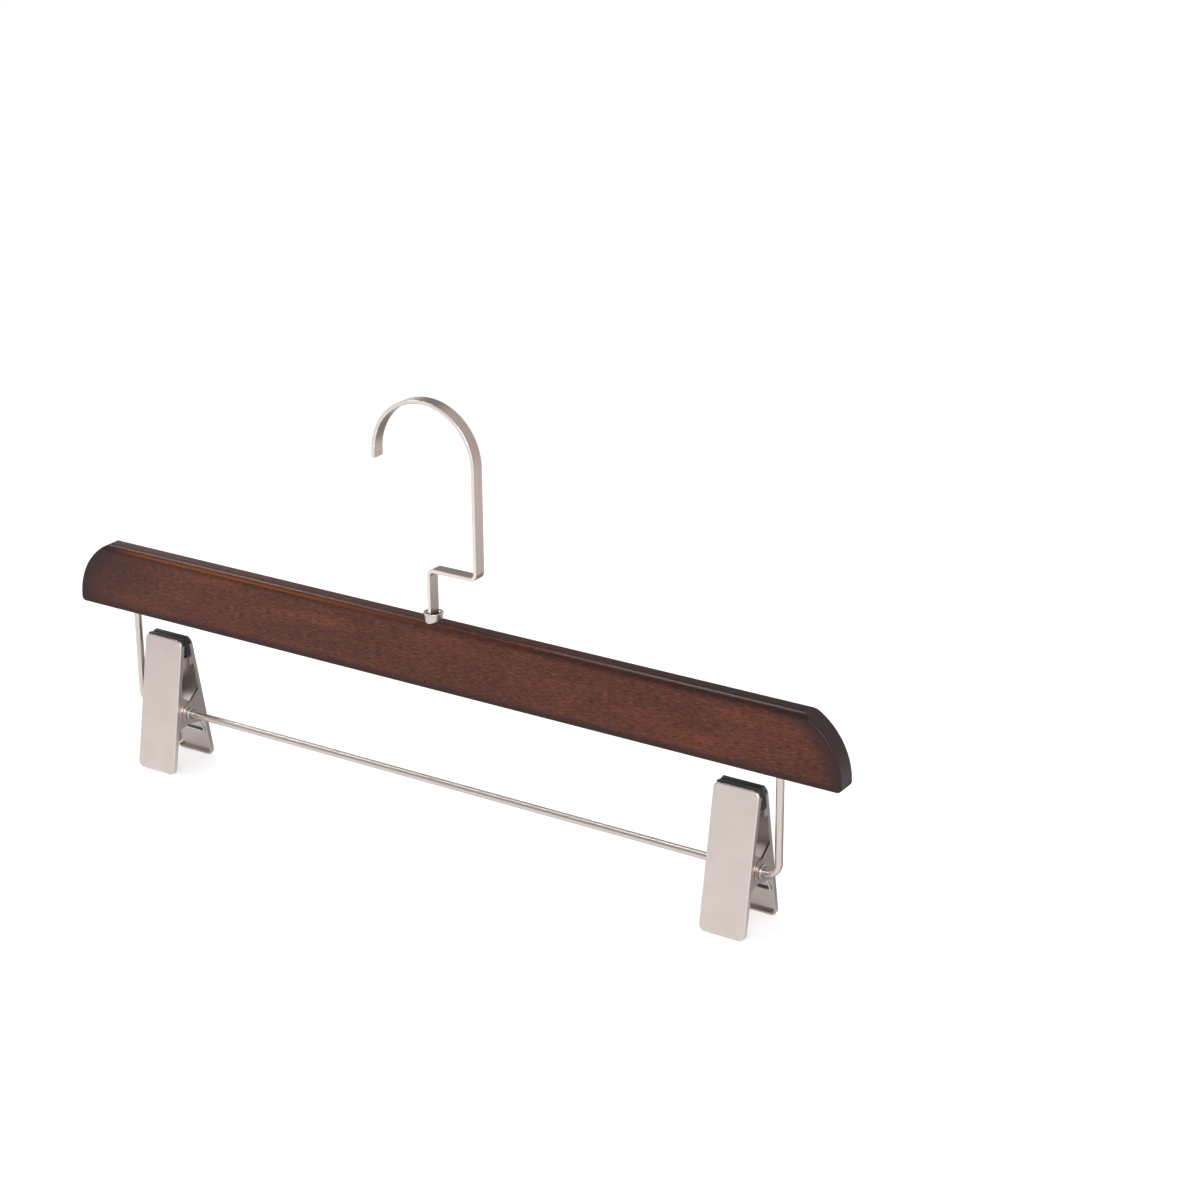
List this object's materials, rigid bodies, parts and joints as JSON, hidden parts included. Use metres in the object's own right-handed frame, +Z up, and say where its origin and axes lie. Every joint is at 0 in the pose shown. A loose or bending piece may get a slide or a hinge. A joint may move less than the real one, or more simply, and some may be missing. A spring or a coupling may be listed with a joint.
{
  "type": "skirt hanger",
  "caption": "Wooden skirt hanger with a swivelling flat metal hook and a bent wire rail that carries sliding sprung clips with ribbed rubber pads.",
  "frame": {"origin": "middle of the hanger on the surface that the clip handles stand on", "axes": "+X along the bar to the right, +Y away from the front, +Z up towards the hook"},
  "size_m": [0.355, 0.0266, 0.1788],
  "materials": {
    "stained_wood": "walnut stain under satin lacquer",
    "satin_nickel": "satin nickel plate",
    "plated_steel": "plain plated steel",
    "spring_steel": "bright drawn wire",
    "black_rubber": "moulded, matt"
  },
  "bodies": {
    "hanger": {"wooden_bar": "stained_wood", "hook_ferrule": "satin_nickel", "wire_frame": "satin_nickel"},
    "hook": {"hook": "satin_nickel"},
    "left_runner": {"left_pivot_tube": "plated_steel"},
    "left_back_plate": {"left_back_jaw": "satin_nickel", "left_back_pad": "black_rubber", "left_spring": "spring_steel"},
    "left_front_plate": {"left_front_jaw": "satin_nickel", "left_front_pad": "black_rubber"},
    "right_runner": {"right_pivot_tube": "plated_steel"},
    "right_back_plate": {"right_back_jaw": "satin_nickel", "right_back_pad": "black_rubber", "right_spring": "spring_steel"},
    "right_front_plate": {"right_front_jaw": "satin_nickel", "right_front_pad": "black_rubber"}
  },
  "joints": [
    {"name": "hook_swivel", "type": "hinge", "parent": "hanger", "child": "hook", "pos_m": [0, 0, 0.09187], "axis": [0, 0, 1], "continuous": true},
    {"name": "left_clip_slide", "type": "slide", "parent": "hanger", "child": "left_runner", "axis": [1, 0, 0], "range_m": [0, 0.123]},
    {"name": "left_clip_turn", "type": "hinge", "parent": "left_runner", "child": "left_back_plate", "pos_m": [-0.13485, 0, 0.02337], "axis": [1, 0, 0], "continuous": true},
    {"name": "left_jaw_open", "type": "hinge", "parent": "left_back_plate", "child": "left_front_plate", "pos_m": [-0.13485, 0, 0.02337], "axis": [1, 0, 0], "range_deg": [0, 40], "stiffness_Nm_per_rad": 0.12, "springref_deg": -17.19, "deforming": ["left_spring"]},
    {"name": "right_clip_slide", "type": "slide", "parent": "hanger", "child": "right_runner", "axis": [-1, 0, 0], "range_m": [0, 0.123]},
    {"name": "right_clip_turn", "type": "hinge", "parent": "right_runner", "child": "right_back_plate", "pos_m": [0.13485, 0, 0.02337], "axis": [1, 0, 0], "continuous": true},
    {"name": "right_jaw_open", "type": "hinge", "parent": "right_back_plate", "child": "right_front_plate", "pos_m": [0.13485, 0, 0.02337], "axis": [1, 0, 0], "range_deg": [0, 40], "stiffness_Nm_per_rad": 0.12, "springref_deg": -17.19, "deforming": ["right_spring"]}
  ]
}
